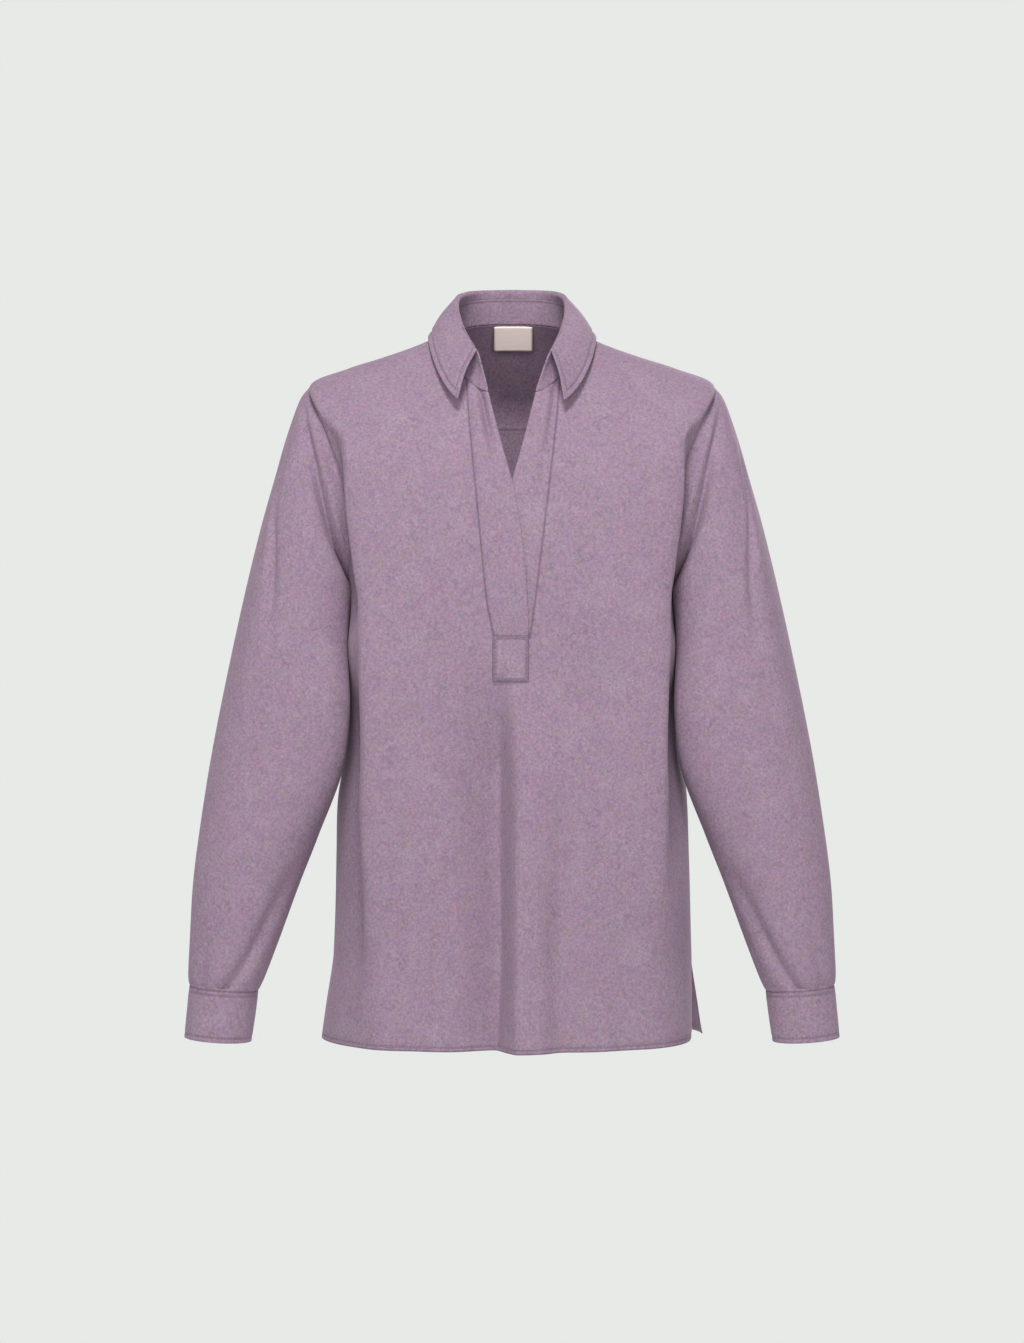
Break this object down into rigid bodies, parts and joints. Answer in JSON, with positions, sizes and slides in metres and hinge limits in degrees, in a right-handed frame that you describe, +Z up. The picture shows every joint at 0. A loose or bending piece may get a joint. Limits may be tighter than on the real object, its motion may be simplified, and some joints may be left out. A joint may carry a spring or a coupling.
{
  "type": "long-sleeved popover shirt",
  "caption": "Long-sleeved popover shirt held hollow as when worn, with a pointed collar, an open placket, plain cuffs and side slits.",
  "frame": {"origin": "the middle of the wearer's neck, level with the tops of the shoulders at the neck, where the shirt hangs from", "axes": "+Z up; the front faces -Y; +X is the wearer's left side and the right of a viewer in front"},
  "size_m": [0.644, 0.2782, 0.7541],
  "materials": {
    "shirting": "brushed cotton twill, lilac melange with fine darker flecks and hair-like veins, no shine",
    "label": "plain cream woven satin"
  },
  "bodies": {
    "root": {"front": "shirting", "back": "shirting", "yoke": "shirting", "band_right": "shirting", "band_left": "shirting", "placket_tab": "shirting", "sleeve_right": "shirting", "sleeve_left": "shirting", "cuff_right": "shirting", "cuff_left": "shirting", "collar_stand": "shirting", "collar_fall": "shirting", "neck_label": "label"}
  },
  "joints": []
}
